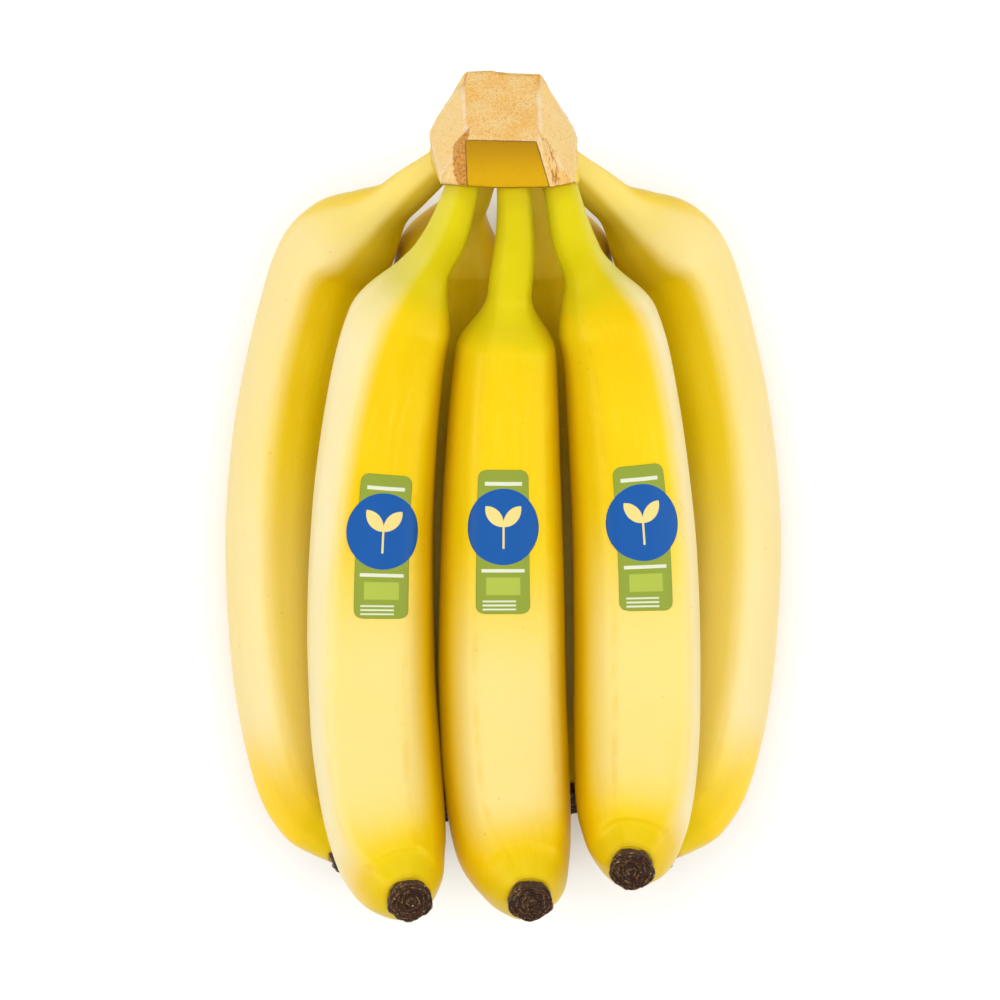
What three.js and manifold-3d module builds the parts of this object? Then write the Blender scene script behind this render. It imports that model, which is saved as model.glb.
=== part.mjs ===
// A hand of seven bananas on one cut crown, lying on its rounded backs with the hollow sides up.
// Three bananas make the inner row, on top; four make the outer row, underneath and at the sides.
// While it is modelled, +X is across the hand, +Y runs from the tips to the crown, and +Z is the
// hollow side. The crown's underside is at Y = 0. Sizes are in millimetres.
import * as THREE from 'three';
import { ConvexGeometry } from 'three/addons/geometries/ConvexGeometry.js';
import { LoftGeometry } from 'three/addons/geometries/LoftGeometry.js';
import { mergeVertices } from 'three/addons/utils/BufferGeometryUtils.js';
import Module from 'manifold-3d';

// Sizes that can be set one at a time.
const BANANA_LENGTH = 203; // from the crown's underside to the blossom end, measured straight
const BANANA_THICKNESS = 38; // the thickest part of an inner-row banana
const PEDICEL_THICKNESS = 12.4; // the slim stalk between the crown and the fruit
const CROWN_HEIGHT = 34; // from the pedicels to the top of the cut
const CROWN_DEPTH = 45; // from the inner face to the outer skin
const TIP_DIAMETER = 12.4; // the dried flower scar at the far end
const TIP_LENGTH = 5.2;
const STICKER_WIDTH = 22.8; // across the round middle
const STICKER_LENGTH = 43; // along the banana
const STICKER_THICKNESS = 0.3;
const GAP = 0.3; // left between pieces that touch
const REST_PITCH = 1.15; // degrees that the hand rocks towards its crown when it settles

// Sizes that follow from those above.
const RIDGE_HEIGHT = 0.03; // of the local radius: five soft ridges run along each banana
const RIDGES = 5;
const CROWN_WIDTH = 3.45 * PEDICEL_THICKNESS; // wide enough for three pedicels side by side
const TAB_WIDTH = 0.72 * STICKER_WIDTH; // the straight tab that the round middle sits on
const SECTION_POINTS = 20;
const SECTIONS = 26;
const STEPS = 400; // for measuring along a path

const SKIN = { color: 0xf6cf16, roughness: 0.48, metalness: 0 };
const CROWN_SKIN = { color: 0xe3b25e, roughness: 0.85, metalness: 0 };
const DRIED = { color: 0x3a2415, roughness: 0.95, metalness: 0 };
const PAPER = { color: 0x2c7a3c, roughness: 0.4, metalness: 0 };

const wasm = await Module();
wasm.setup();

// Radius along the fruit, from the pedicel's end (0) to the blossom end (1), as a share of the
// fruit's greatest radius. Fruit of the outer row is full from its shoulder on.
const INNER_PROFILE = [
  [0.0, 0.68],
  [0.1, 0.8],
  [0.22, 0.88],
  [0.4, 0.96],
  [0.6, 1.0],
  [0.76, 0.99],
  [0.86, 0.92],
  [0.93, 0.76],
  [0.97, 0.58],
  [1.0, 0.37],
];
const OUTER_PROFILE = [
  [0.0, 0.82],
  [0.12, 0.9],
  [0.3, 0.97],
  [0.5, 1.0],
  [0.74, 0.99],
  [0.86, 0.92],
  [0.93, 0.77],
  [0.97, 0.55],
  [1.0, 0.38],
];

// root: where the pedicel joins the crown, across in pedicel thicknesses, up and deep in crown
// heights and depths. path: across and deep in banana thicknesses, along in banana lengths.
// pedicel: where the slim stalk ends, counted in path points from the root. shoulder: share of
// the fruit over which it swells from the pedicel. girth: share of the full thickness. roll:
// degrees that the ridges are turned about the banana's own axis. sticker: place along the
// banana, and degrees turned.
const BANANAS = [
  {
    name: 'inner_left',
    root: [-0.74, 0.1, 0.3],
    path: [
      [-0.39, -0.066, 1.34],
      [-0.57, -0.121, 1.23],
      [-0.75, -0.196, 1.12],
      [-0.87, -0.308, 1.01],
      [-0.965, -0.517, 0.935],
      [-0.95, -0.742, 1.04],
      [-0.83, -0.905, 1.34],
      [-0.73, -0.955, 1.58],
      [-0.67, -0.972, 1.79],
    ],
    pedicel: 1.45,
    shoulder: 0.12,
    girth: 1,
    profile: INNER_PROFILE,
    roll: 25,
    sticker: [0.505, 12],
  },
  {
    name: 'inner_middle',
    root: [0.3, 0.1, 0.32],
    path: [
      [0.113, -0.069, 1.34],
      [0.07, -0.158, 1.2],
      [0.037, -0.305, 1.01],
      [0.026, -0.517, 0.91],
      [0.04, -0.739, 1.01],
      [0.1, -0.895, 1.29],
      [0.17, -0.95, 1.54],
      [0.21, -0.972, 1.77],
    ],
    pedicel: 1.88,
    shoulder: 0.09,
    girth: 1,
    profile: INNER_PROFILE,
    roll: 4,
    sticker: [0.49, 0],
  },
  {
    name: 'inner_right',
    root: [1.3, 0.1, 0.3],
    path: [
      [0.54, -0.072, 1.34],
      [0.69, -0.135, 1.22],
      [0.84, -0.21, 1.11],
      [0.93, -0.308, 1.01],
      [1.024, -0.517, 0.935],
      [1.035, -0.735, 1.04],
      [1.0, -0.868, 1.32],
      [0.975, -0.913, 1.53],
      [0.96, -0.93, 1.73],
    ],
    pedicel: 1.37,
    shoulder: 0.12,
    girth: 0.99,
    profile: INNER_PROFILE,
    roll: -25,
    sticker: [0.515, 6],
  },
  {
    name: 'outer_far_left',
    root: [-1.15, 0.28, -0.1],
    path: [
      [-0.72, 0, 0.76],
      [-1.01, -0.04, 0.45],
      [-1.282, -0.088, 0.22],
      [-1.435, -0.175, 0.1],
      [-1.595, -0.33, 0.06],
      [-1.655, -0.49, 0.07],
      [-1.62, -0.625, 0.13],
      [-1.53, -0.76, 0.26],
      [-1.38, -0.868, 0.44],
      [-1.16, -0.93, 0.66],
    ],
    pedicel: 1.13,
    shoulder: 0.13,
    girth: 0.95,
    profile: OUTER_PROFILE,
    roll: 18,
  },
  {
    name: 'outer_left',
    root: [-0.4, 0.15, -0.25],
    path: [
      [-0.25, -0.01, 0.52],
      [-0.35, -0.052, 0.27],
      [-0.403, -0.105, 0.1],
      [-0.455, -0.22, 0.01],
      [-0.48, -0.38, -0.04],
      [-0.482, -0.55, -0.02],
      [-0.482, -0.7, 0.1],
      [-0.47, -0.81, 0.34],
      [-0.46, -0.86, 0.58],
    ],
    pedicel: 0.93,
    shoulder: 0.12,
    girth: 0.95,
    profile: OUTER_PROFILE,
    roll: 30,
  },
  {
    name: 'outer_right',
    root: [0.6, 0.15, -0.25],
    path: [
      [0.3, -0.01, 0.52],
      [0.4, -0.052, 0.27],
      [0.457, -0.105, 0.1],
      [0.51, -0.22, 0.01],
      [0.52, -0.38, -0.04],
      [0.525, -0.55, -0.02],
      [0.525, -0.7, 0.1],
      [0.52, -0.8, 0.34],
      [0.51, -0.85, 0.56],
    ],
    pedicel: 0.94,
    shoulder: 0.12,
    girth: 0.95,
    profile: OUTER_PROFILE,
    roll: -30,
  },
  {
    name: 'outer_far_right',
    root: [1.35, 0.28, -0.1],
    path: [
      [0.77, 0, 0.76],
      [1.06, -0.04, 0.45],
      [1.328, -0.088, 0.22],
      [1.485, -0.175, 0.1],
      [1.645, -0.33, 0.06],
      [1.705, -0.49, 0.07],
      [1.67, -0.625, 0.13],
      [1.58, -0.76, 0.26],
      [1.43, -0.863, 0.44],
      [1.21, -0.925, 0.66],
    ],
    pedicel: 1.16,
    shoulder: 0.13,
    girth: 0.95,
    profile: OUTER_PROFILE,
    roll: -18,
  },
];

const CROWN_MIDDLE_Z = BANANA_THICKNESS * 1.08;

function rootPoint(root) {
  return new THREE.Vector3(
    root[0] * PEDICEL_THICKNESS,
    root[1] * CROWN_HEIGHT,
    CROWN_MIDDLE_Z + root[2] * CROWN_DEPTH,
  );
}

function pathPoint(point) {
  return new THREE.Vector3(
    point[0] * BANANA_THICKNESS,
    point[1] * BANANA_LENGTH,
    point[2] * BANANA_THICKNESS,
  );
}

function smoothStep(x) {
  return x * x * (3 - 2 * x);
}

// Reads a profile of [place, value] pairs, easing smoothly between its points.
function readProfile(profile, place) {
  const curve = new THREE.CatmullRomCurve3(
    profile.map(([p, v]) => new THREE.Vector3(p, v, 0)),
    false,
    'centripetal',
  );
  let low = 0;
  let high = 1;
  for (let step = 0; step < 24; step += 1) {
    const middle = (low + high) / 2;
    if (curve.getPoint(middle).x < place) {
      low = middle;
    } else {
      high = middle;
    }
  }
  return curve.getPoint(low).y;
}

// The centre line, the local radius and the cross-section of one banana.
class Banana {
  constructor(entry) {
    const points = [rootPoint(entry.root)];
    points.push(...entry.path.map(pathPoint));
    this.curve = new THREE.CatmullRomCurve3(points, false, 'centripetal');
    this.curve.arcLengthDivisions = STEPS;
    this.length = this.curve.getLength();
    const stalkStep = Math.round((entry.pedicel / entry.path.length) * STEPS);
    this.stalk = this.curve.getLengths()[stalkStep] / this.length;
    this.radius = (entry.girth * BANANA_THICKNESS) / 2 / (1 + RIDGE_HEIGHT);
    this.shoulder = entry.shoulder;
    this.profile = entry.profile;
    this.roll = THREE.MathUtils.degToRad(entry.roll);
  }

  // Radius at a share of the whole length, crown to blossom end.
  radiusAt(share) {
    const slim = PEDICEL_THICKNESS / 2;
    if (share < this.stalk) {
      return slim;
    }
    const along = (share - this.stalk) / (1 - this.stalk);
    const fruit = this.radius * readProfile(this.profile, along);
    const swell = smoothStep(Math.min(along / this.shoulder, 1));
    return slim + (fruit - slim) * swell;
  }

  // Two directions across the banana: one sideways, one towards its hollow side.
  frameAt(share) {
    const along = this.curve.getTangentAt(share);
    const across = new THREE.Vector3(1, 0, 0);
    across.addScaledVector(along, -across.dot(along)).normalize();
    const hollow = new THREE.Vector3().crossVectors(along, across);
    return { along, across, hollow };
  }

  // A point on the skin, raised by lift. The angle runs from sideways towards the hollow side.
  skinPoint(share, angle, lift) {
    const { across, hollow } = this.frameAt(share);
    const size = this.radiusAt(share);
    const fullness = Math.min(size / this.radius, 1);
    const ridge = RIDGE_HEIGHT * fullness * Math.cos(RIDGES * (angle - Math.PI / 2 - this.roll));
    const reach = size * (1 + ridge) + lift;
    return this.curve
      .getPointAt(share)
      .addScaledVector(across, reach * Math.cos(angle))
      .addScaledVector(hollow, reach * Math.sin(angle));
  }

  ring(share) {
    const points = [];
    for (let i = 0; i < SECTION_POINTS; i += 1) {
      const angle = Math.PI / 2 + this.roll + (i / SECTION_POINTS) * 2 * Math.PI;
      points.push(this.skinPoint(share, angle, 0));
    }
    return points;
  }

  // Sections lie closer together at the shoulder and at the blossom end, where the shape turns.
  solid() {
    const sections = [];
    for (let i = 0; i <= SECTIONS; i += 1) {
      const even = i / SECTIONS;
      const share = even - 0.06 * Math.sin(2 * Math.PI * even);
      sections.push(this.ring(share));
    }
    return new LoftGeometry(sections, { capStart: true, capEnd: true });
  }
}

// Corners of the cut crown: across as a share of its half width, up in crown heights, and deep
// as a share of its half depth. The inner face slopes back to the top where it was cut from the
// stalk; the two sides were trimmed by a knife.
const CROWN_CORNERS = [
  [-0.46, 0.42, 1.0],
  [0.5, 0.42, 1.0],
  [0.63, 0.04, 0.93],
  [0.04, -0.01, 1.0],
  [-0.45, 0.01, 0.96],
  [-0.45, 1.0, 0.22],
  [0.54, 0.97, 0.22],
  [-0.78, 0.66, 0.1],
  [0.88, 0.62, 0.1],
  [-0.97, 0.47, 0.2],
  [1.05, 0.44, 0.2],
  [-0.91, 0.21, 0.15],
  [1.01, 0.23, 0.15],
  [-0.79, 0.08, 0.1],
  [0.93, 0.11, 0.1],
  [-0.76, 0.06, 0.62],
  [0.9, 0.09, 0.62],
  [-0.86, 0.48, -0.7],
  [0.94, 0.46, -0.7],
  [-0.75, 0.12, -0.75],
  [0.83, 0.12, -0.75],
  [-0.5, 0.9, -0.35],
  [0.58, 0.88, -0.35],
  [-0.4, 0.55, -1.0],
  [0.48, 0.55, -1.0],
  [-0.4, 0.1, -0.95],
  [0.48, 0.1, -0.95],
];

function crownGeometry(grow) {
  const corners = CROWN_CORNERS.map(
    ([across, up, deep]) =>
      new THREE.Vector3(
        (across * CROWN_WIDTH) / 2,
        up * CROWN_HEIGHT,
        CROWN_MIDDLE_Z + (deep * CROWN_DEPTH) / 2,
      ),
  );
  const middle = new THREE.Vector3();
  corners.forEach((corner) => middle.add(corner));
  middle.divideScalar(corners.length);
  corners.forEach((corner) => {
    const outwards = corner.clone().sub(middle);
    corner.addScaledVector(outwards.normalize(), grow);
  });
  return new ConvexGeometry(corners);
}

function toManifold(geometry) {
  const bare = new THREE.BufferGeometry().copy(geometry);
  bare.deleteAttribute('normal');
  bare.deleteAttribute('uv');
  const merged = mergeVertices(bare, 1e-4);
  return new wasm.Manifold(
    new wasm.Mesh({
      numProp: 3,
      vertProperties: new Float32Array(merged.attributes.position.array),
      triVerts: new Uint32Array(merged.index.array),
    }),
  );
}

function fromManifold(solid) {
  const mesh = solid.getMesh();
  const geometry = new THREE.BufferGeometry();
  geometry.setAttribute('position', new THREE.BufferAttribute(mesh.vertProperties, 3));
  geometry.setIndex(new THREE.BufferAttribute(mesh.triVerts, 1));
  geometry.computeVertexNormals();
  return geometry;
}

function makeMesh(name, geometry, look) {
  const mesh = new THREE.Mesh(geometry, new THREE.MeshStandardMaterial(look));
  mesh.name = name;
  return mesh;
}

// The dried flower scar: a short flared stub with a sunken face, turned about its own axis.
function tipGeometry() {
  const rim = TIP_DIAMETER / 2;
  const profile = [
    [0, 0],
    [0.84 * rim, 0],
    [0.9 * rim, 0.45 * TIP_LENGTH],
    [rim, 0.85 * TIP_LENGTH],
    [0.88 * rim, TIP_LENGTH],
    [0.55 * rim, 0.86 * TIP_LENGTH],
    [0, 0.8 * TIP_LENGTH],
  ];
  return new THREE.LatheGeometry(
    profile.map(([r, h]) => new THREE.Vector2(r, h)),
    14,
  );
}

// Half the sticker's width at a place along it, from -1 to 1: a rounded tab with a round middle.
function stickerHalfWidth(place) {
  const along = (Math.abs(place) * STICKER_LENGTH) / 2;
  const disc = STICKER_WIDTH / 2;
  const corner = 0.12 * STICKER_LENGTH;
  const fromEnd = STICKER_LENGTH / 2 - along;
  let tab = TAB_WIDTH / 2;
  if (fromEnd < corner) {
    const drop = corner - fromEnd;
    tab -= corner - Math.sqrt(Math.max(corner * corner - drop * drop, 0.04 * corner * corner));
  }
  const round = along < disc ? Math.sqrt(disc * disc - along * along) : 0;
  return Math.max(tab, round);
}

// A thin sheet that follows the banana's skin, closed all round.
function stickerGeometry(banana, middleShare, turn) {
  const rows = 14;
  const columns = 8;
  const under = 0.55; // clears the straight facets of the skin below it
  const sections = [];
  for (let row = 0; row <= rows; row += 1) {
    const place = -Math.cos((Math.PI * row) / rows) * 0.15 + ((2 * row) / rows - 1) * 0.85;
    const share = middleShare + (place * STICKER_LENGTH) / 2 / banana.length;
    const halfAngle = stickerHalfWidth(place) / (banana.radiusAt(share) + GAP);
    const middle = Math.PI / 2 - THREE.MathUtils.degToRad(turn);
    const ring = [];
    for (let i = 0; i <= columns; i += 1) {
      const angle = middle - halfAngle + (2 * halfAngle * i) / columns;
      ring.push(banana.skinPoint(share, angle, under + STICKER_THICKNESS));
    }
    for (let i = columns; i >= 0; i -= 1) {
      const angle = middle - halfAngle + (2 * halfAngle * i) / columns;
      ring.push(banana.skinPoint(share, angle, under));
    }
    sections.push(ring);
  }
  return new LoftGeometry(sections, { capStart: true, capEnd: true });
}

const hand = new THREE.Group();
hand.add(makeMesh('crown', crownGeometry(0), CROWN_SKIN));

// Corners moved outwards carry the flat faces between them out a little less than that.
const clearance = toManifold(crownGeometry(1.6 * GAP));

for (const entry of BANANAS) {
  const banana = new Banana(entry);
  const trimmed = toManifold(banana.solid()).subtract(clearance);
  hand.add(makeMesh(`banana_${entry.name}`, fromManifold(trimmed), SKIN));

  const tip = makeMesh(`tip_${entry.name}`, tipGeometry(), DRIED);
  const { along } = banana.frameAt(1);
  tip.position.copy(banana.curve.getPointAt(1)).addScaledVector(along, GAP);
  tip.quaternion.setFromUnitVectors(new THREE.Vector3(0, 1, 0), along);
  hand.add(tip);

  if (entry.sticker !== undefined) {
    const sheet = stickerGeometry(banana, ...entry.sticker);
    hand.add(makeMesh(`sticker_${entry.name}`, sheet, PAPER));
  }
}

// The hand is rocked to the angle at which it settles, then set down with its lowest point on
// the ground and its outline centred on the origin.
hand.rotation.x = THREE.MathUtils.degToRad(REST_PITCH);
const group = new THREE.Group();
group.add(hand);
group.updateMatrixWorld(true);
const box = new THREE.Box3().setFromObject(group, true);
const middle = box.getCenter(new THREE.Vector3());
hand.position.set(-middle.x, -middle.y, -box.min.z);

export default group;
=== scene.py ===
import math

import bmesh
import bpy
import numpy as np
from mathutils import Matrix, Vector, noise
from mathutils.bvhtree import BVHTree


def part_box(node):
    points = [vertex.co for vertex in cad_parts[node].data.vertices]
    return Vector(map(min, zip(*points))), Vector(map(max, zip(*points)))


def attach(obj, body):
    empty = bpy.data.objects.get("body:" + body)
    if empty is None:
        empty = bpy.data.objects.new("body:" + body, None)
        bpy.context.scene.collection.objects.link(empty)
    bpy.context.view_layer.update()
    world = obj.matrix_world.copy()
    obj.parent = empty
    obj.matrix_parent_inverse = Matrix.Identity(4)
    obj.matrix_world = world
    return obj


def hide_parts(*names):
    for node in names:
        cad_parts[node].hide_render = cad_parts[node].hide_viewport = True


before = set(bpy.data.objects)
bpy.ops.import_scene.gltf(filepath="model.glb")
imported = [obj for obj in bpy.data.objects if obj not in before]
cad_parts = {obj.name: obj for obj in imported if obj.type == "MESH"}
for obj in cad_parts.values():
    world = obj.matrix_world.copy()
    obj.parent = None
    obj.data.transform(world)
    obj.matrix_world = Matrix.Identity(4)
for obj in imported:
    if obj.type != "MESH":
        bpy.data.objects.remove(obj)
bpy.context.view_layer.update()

# Seven bananas grew together from one crown, as a hand. It lies on the rounded backs of its four
# outer bananas, hollow sides up. It is laid out level, with the tips towards -Y and the crown
# towards +Y, and then rocked by REST_PITCH about X to the angle at which it settles.
REST_PITCH = math.radians(1.15)
BANANA_LENGTH = 0.203
BANANA_THICKNESS = 0.038
PEDICEL_THICKNESS = 0.0124
CROWN_HEIGHT = 0.034
CROWN_DEPTH = 0.045
CROWN_WIDTH = 3.45 * PEDICEL_THICKNESS
CROWN_MIDDLE_Z = 1.08 * BANANA_THICKNESS

# Across in half widths of the crown, up in its heights, and deep in half its depths.
CROWN_CORNERS = [
    (-0.46, 0.42, 1.0),
    (0.5, 0.42, 1.0),
    (0.63, 0.04, 0.93),
    (0.04, -0.01, 1.0),
    (-0.45, 0.01, 0.96),
    (-0.45, 1.0, 0.22),
    (0.54, 0.97, 0.22),
    (-0.78, 0.66, 0.1),
    (0.88, 0.62, 0.1),
    (-0.97, 0.47, 0.2),
    (1.05, 0.44, 0.2),
    (-0.91, 0.21, 0.15),
    (1.01, 0.23, 0.15),
    (-0.79, 0.08, 0.1),
    (0.93, 0.11, 0.1),
    (-0.76, 0.06, 0.62),
    (0.9, 0.09, 0.62),
    (-0.86, 0.48, -0.7),
    (0.94, 0.46, -0.7),
    (-0.75, 0.12, -0.75),
    (0.83, 0.12, -0.75),
    (-0.5, 0.9, -0.35),
    (0.58, 0.88, -0.35),
    (-0.4, 0.55, -1.0),
    (0.48, 0.55, -1.0),
    (-0.4, 0.1, -0.95),
    (0.48, 0.1, -0.95),
]
rock = Matrix.Rotation(REST_PITCH, 4, "X")


def crown_corner(across, up, deep):
    """A corner of the cut crown on the level hand."""
    return Vector((
        across * CROWN_WIDTH / 2,
        up * CROWN_HEIGHT,
        CROWN_MIDDLE_Z + deep * CROWN_DEPTH / 2,
    ))


# The crown's own corners say how far the rocked hand was moved to lie where the frame has it.
rocked_corners = [rock @ crown_corner(*corner) for corner in CROWN_CORNERS]
crown_low, crown_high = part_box("crown")
lie = Matrix.Translation([
    crown_low[axis] - min(corner[axis] for corner in rocked_corners) for axis in range(3)
]) @ rock


# Each banana is one berry that grew curved: a slim green stalk, the pedicel, that swells at the
# shoulder into a five-sided fruit. The skin is smooth, waxy and yellow, greener at the stalk and
# at the blossom end, and its five edges are soft. Three bananas lie on top and four beneath.
FRUIT_SIDES = 5
EDGE_HEIGHT = 0.03
EDGE_SHARPNESS = 0.008
STALK_EDGE_SHARE = 0.45
SKIN_UNEVENNESS = 0.0006
LUMP_SCALE = 34.0
ROOT_SHARE = 0.76
SECTION_POINTS = 120
SECTIONS = 280
CENTRE_LINE_STEPS = 480

# The skin is this share of the girth that it has room for, so that its lumps fit in as well.
SKIN_CLEARANCE = 0.98

# Radius from the end of the pedicel (0) to the blossom end (1), as a share of the greatest one.
INNER_PROFILE = [
    (0, 0.68), (0.1, 0.8), (0.22, 0.88), (0.4, 0.96), (0.6, 1), (0.76, 0.99),
    (0.86, 0.92), (0.93, 0.76), (0.97, 0.57), (1, 0.335),
]
OUTER_PROFILE = [
    (0, 0.82), (0.12, 0.9), (0.3, 0.97), (0.5, 1), (0.74, 0.99),
    (0.86, 0.92), (0.93, 0.77), (0.97, 0.55), (1, 0.345),
]

# root: across in pedicel thicknesses, up in crown heights and deep in crown depths. path: across
# and deep in banana thicknesses, along in banana lengths. pedicel: the path points that it takes.
# shoulder: the share of the fruit over which it swells. girth: in banana thicknesses. turn and
# drift: how far its edges are turned at the stalk and turn along it, in degrees. pale: which side
# of it gets a painted highlight, a pale cream wash over its outer facets, if any.
BANANAS = {
    "inner_left": dict(
        root=(-0.74, 0.1, 0.3),
        path=[
            (-0.39, -0.066, 1.34), (-0.57, -0.121, 1.23), (-0.75, -0.196, 1.12),
            (-0.87, -0.308, 1.01), (-0.965, -0.517, 0.935), (-0.95, -0.742, 1.04),
            (-0.83, -0.905, 1.34), (-0.73, -0.955, 1.58), (-0.67, -0.972, 1.79),
        ],
        pedicel=1.45, shoulder=0.12, girth=1, profile=INNER_PROFILE, turn=14, drift=38, pale=1,
    ),
    "inner_middle": dict(
        root=(0.3, 0.1, 0.32),
        path=[
            (0.113, -0.069, 1.34), (0.07, -0.158, 1.2), (0.037, -0.305, 1.01),
            (0.026, -0.517, 0.91), (0.04, -0.739, 1.01), (0.1, -0.895, 1.29),
            (0.17, -0.95, 1.54), (0.21, -0.972, 1.77),
        ],
        pedicel=1.88, shoulder=0.09, girth=1, profile=INNER_PROFILE, turn=26, drift=0, pale=0,
    ),
    "inner_right": dict(
        root=(1.3, 0.1, 0.3),
        path=[
            (0.54, -0.072, 1.34), (0.69, -0.135, 1.22), (0.84, -0.21, 1.11),
            (0.93, -0.308, 1.01), (1.024, -0.517, 0.935), (1.035, -0.735, 1.04),
            (1.0, -0.868, 1.32), (0.975, -0.913, 1.53), (0.96, -0.93, 1.73),
        ],
        pedicel=1.37, shoulder=0.12, girth=0.99, profile=INNER_PROFILE, turn=-44, drift=-6, pale=-1,
    ),
    "outer_far_left": dict(
        root=(-1.15, 0.28, -0.1),
        path=[
            (-0.72, 0, 0.76), (-1.01, -0.04, 0.45), (-1.282, -0.088, 0.22),
            (-1.435, -0.175, 0.1), (-1.595, -0.33, 0.06), (-1.655, -0.49, 0.07),
            (-1.62, -0.625, 0.13), (-1.53, -0.76, 0.26), (-1.38, -0.868, 0.44),
            (-1.16, -0.93, 0.66),
        ],
        pedicel=1.13, shoulder=0.13, girth=0.95, profile=OUTER_PROFILE, turn=18, drift=0, pale=1,
    ),
    "outer_left": dict(
        root=(-0.4, 0.15, -0.25),
        path=[
            (-0.25, -0.01, 0.52), (-0.35, -0.052, 0.27), (-0.403, -0.105, 0.1),
            (-0.455, -0.22, 0.01), (-0.48, -0.38, -0.04), (-0.482, -0.55, -0.02),
            (-0.482, -0.7, 0.1), (-0.47, -0.81, 0.34), (-0.46, -0.86, 0.58),
        ],
        pedicel=0.93, shoulder=0.12, girth=0.95, profile=OUTER_PROFILE, turn=30, drift=0, pale=0,
    ),
    "outer_right": dict(
        root=(0.6, 0.15, -0.25),
        path=[
            (0.3, -0.01, 0.52), (0.4, -0.052, 0.27), (0.457, -0.105, 0.1),
            (0.51, -0.22, 0.01), (0.52, -0.38, -0.04), (0.525, -0.55, -0.02),
            (0.525, -0.7, 0.1), (0.52, -0.8, 0.34), (0.51, -0.85, 0.56),
        ],
        pedicel=0.94, shoulder=0.12, girth=0.95, profile=OUTER_PROFILE, turn=-30, drift=0, pale=0,
    ),
    "outer_far_right": dict(
        root=(1.35, 0.28, -0.1),
        path=[
            (0.77, 0, 0.76), (1.06, -0.04, 0.45), (1.328, -0.088, 0.22),
            (1.485, -0.175, 0.1), (1.645, -0.33, 0.06), (1.705, -0.49, 0.07),
            (1.67, -0.625, 0.13), (1.58, -0.76, 0.26), (1.43, -0.863, 0.44),
            (1.21, -0.925, 0.66),
        ],
        pedicel=1.16, shoulder=0.13, girth=0.95, profile=OUTER_PROFILE, turn=-18, drift=0, pale=-1,
    ),
}


def bent_line(points, steps):
    """A smooth line through the points, bent most where they lie close, in even steps between
    each two (a centripetal Catmull-Rom curve)."""
    before = points[0] * 2 - points[1]
    after = points[-1] * 2 - points[-2]
    chain = [before] + points + [after]
    gaps = [math.sqrt((b - a).length) for a, b in zip(chain, chain[1:])]
    line = []
    for step in range(steps + 1):
        place = step / steps * (len(points) - 1)
        i = min(int(place), len(points) - 2)
        t = place - i
        p0, p1, p2, p3 = chain[i:i + 4]
        g0, g1, g2 = gaps[i:i + 3]
        leave = ((p1 - p0) / g0 - (p2 - p0) / (g0 + g1) + (p2 - p1) / g1) * g1
        arrive = ((p2 - p1) / g1 - (p3 - p1) / (g1 + g2) + (p3 - p2) / g2) * g1
        bend = (p2 - p1) * 3 - leave * 2 - arrive
        twist = (p1 - p2) * 2 + leave + arrive
        line.append(p1 + leave * t + bend * t ** 2 + twist * t ** 3)
    return line


def centre_line(banana):
    """The line along a banana's middle, and the share of its length that the pedicel takes."""
    across, up, deep = banana["root"]
    points = [Vector((
        across * PEDICEL_THICKNESS,
        up * CROWN_HEIGHT,
        CROWN_MIDDLE_Z + deep * CROWN_DEPTH,
    ))]
    for across, along, deep in banana["path"]:
        points.append(Vector((
            across * BANANA_THICKNESS,
            along * BANANA_LENGTH,
            deep * BANANA_THICKNESS,
        )))
    line = [lie @ point for point in bent_line(points, CENTRE_LINE_STEPS)]
    run = np.cumsum([0.0] + [(b - a).length for a, b in zip(line, line[1:])])
    stalk_end = round(banana["pedicel"] / len(banana["path"]) * CENTRE_LINE_STEPS)
    return line, run[stalk_end] / run[-1]


# Shader and geometry nodes are added by a Nodes object, and a Wire stands for one of their
# sockets: plain sums on wires add the maths nodes for them.
class Wire:
    def __init__(self, nodes, socket):
        self.nodes = nodes
        self.socket = socket

    def maths(self, operation, *values):
        return self.nodes.add("ShaderNodeMath", {"operation": operation}, dict(enumerate(values)))

    def __add__(self, other):
        return self.maths("ADD", self, other)

    def __radd__(self, other):
        return self.maths("ADD", other, self)

    def __sub__(self, other):
        return self.maths("SUBTRACT", self, other)

    def __rsub__(self, other):
        return self.maths("SUBTRACT", other, self)

    def __mul__(self, other):
        return self.maths("MULTIPLY", self, other)

    def __rmul__(self, other):
        return self.maths("MULTIPLY", other, self)

    def __truediv__(self, other):
        return self.maths("DIVIDE", self, other)

    def __pow__(self, other):
        return self.maths("POWER", self, other)

    def minimum(self, other):
        return self.maths("MINIMUM", self, other)

    def maximum(self, other):
        return self.maths("MAXIMUM", self, other)

    def distance(self, other):
        return self.maths("ABSOLUTE", self.maths("SUBTRACT", self, other))

    def cos(self):
        return self.maths("COSINE", self)

    def sin(self):
        return self.maths("SINE", self)

    def ease(self, start, end, low=0.0, high=1.0):
        """Goes smoothly from low to high as this value goes from start to end."""
        settings = {"interpolation_type": "SMOOTHSTEP", "clamp": True}
        inputs = {"Value": self, "From Min": start, "From Max": end, "To Min": low, "To Max": high}
        return self.nodes.add("ShaderNodeMapRange", settings, inputs)


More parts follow.
